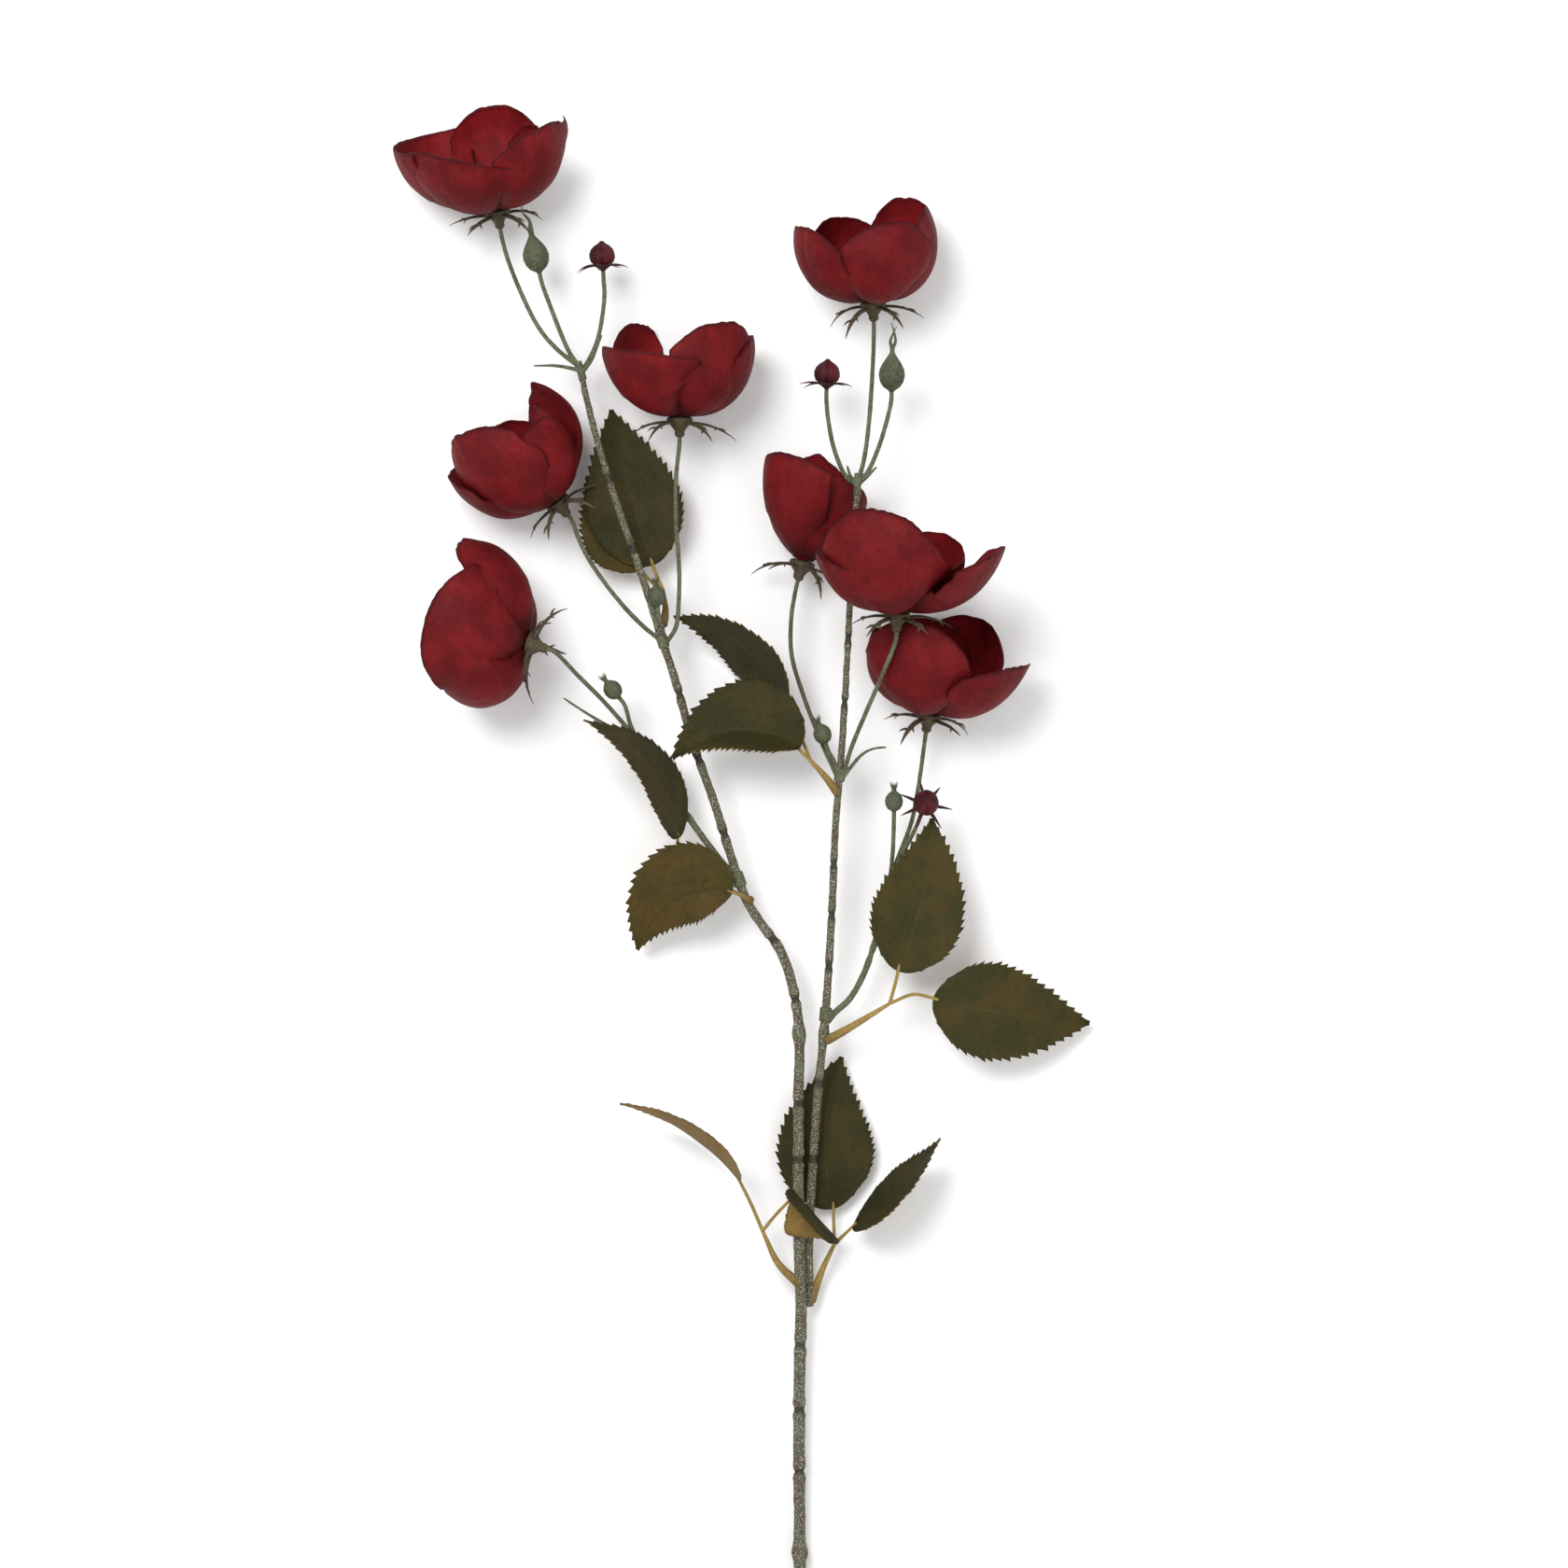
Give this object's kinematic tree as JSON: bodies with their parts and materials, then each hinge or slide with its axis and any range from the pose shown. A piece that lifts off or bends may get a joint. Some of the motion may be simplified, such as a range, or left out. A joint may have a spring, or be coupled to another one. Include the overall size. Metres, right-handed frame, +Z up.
{
  "type": "rose spray",
  "caption": "Branching cut stem of cup-shaped open roses with buds, hips and toothed leaves, lying on its side.",
  "frame": {"origin": "middle of the box's underside, on the surface that the spray lies on", "axes": "+Z up from that surface, +Y from the cut end of the stem towards the blooms, +X to the right as seen from above"},
  "size_m": [0.2978, 0.6802, 0.104],
  "materials": {
    "petal_red": "matte dyed cloth",
    "bud_red": "matte",
    "stem_brown": "mottled, matte",
    "stalk_green": "matte",
    "calyx_green": "matte",
    "hip_green": "matte",
    "leaf_green": "matte printed cloth",
    "leaf_stalk_ochre": "matte"
  },
  "bodies": {
    "root": {"rose_top_left_petals": "petal_red", "rose_top_left_calyx": "calyx_green", "rose_top_right_petals": "petal_red", "rose_top_right_calyx": "calyx_green", "rose_upper_left_petals": "petal_red", "rose_upper_left_calyx": "calyx_green", "rose_middle_left_petals": "petal_red", "rose_middle_left_calyx": "calyx_green", "rose_low_left_petals": "petal_red", "rose_low_left_calyx": "calyx_green", "rose_middle_petals": "petal_red", "rose_middle_calyx": "calyx_green", "rose_centre_petals": "petal_red", "rose_centre_calyx": "calyx_green", "rose_low_right_petals": "petal_red", "rose_low_right_calyx": "calyx_green", "red_bud_left_petals": "bud_red", "red_bud_left_calyx": "calyx_green", "red_bud_middle_petals": "bud_red", "red_bud_middle_calyx": "calyx_green", "red_bud_right_petals": "bud_red", "red_bud_right_calyx": "calyx_green", "green_bud_left": "hip_green", "green_bud_right": "hip_green", "hip_upper_left": "hip_green", "hip_low_left": "hip_green", "hip_middle": "hip_green", "hip_low_right": "hip_green", "main_stem": "stem_brown", "left_stem": "stem_brown", "right_stem": "stem_brown", "stalks_top_left": "stalk_green", "stalks_top_right": "stalk_green", "stalks_upper_left": "stalk_green", "stalks_middle": "stalk_green", "branch_low_left": "stalk_green", "branch_low_right": "stalk_green", "leaf_stalk_upper_left": "leaf_stalk_ochre", "leaf_stalk_side_left": "leaf_stalk_ochre", "leaf_stalk_centre": "leaf_stalk_ochre", "leaf_stalk_right": "leaf_stalk_ochre", "leaf_stalk_low_left": "leaf_stalk_ochre", "leaf_stalk_low_right": "leaf_stalk_ochre", "leaf_upper_left": "leaf_green", "leaf_upper_left_under": "leaf_green", "leaf_side_left_curled": "leaf_green", "leaf_side_left": "leaf_green", "leaf_centre_folded": "leaf_green", "leaf_centre": "leaf_green", "leaf_right_upright": "leaf_green", "leaf_right": "leaf_green", "leaf_low_left_curled": "leaf_green", "leaf_low_twisted": "leaf_green", "leaf_low_back": "leaf_green", "leaf_low_right_folded": "leaf_green"}
  },
  "joints": []
}
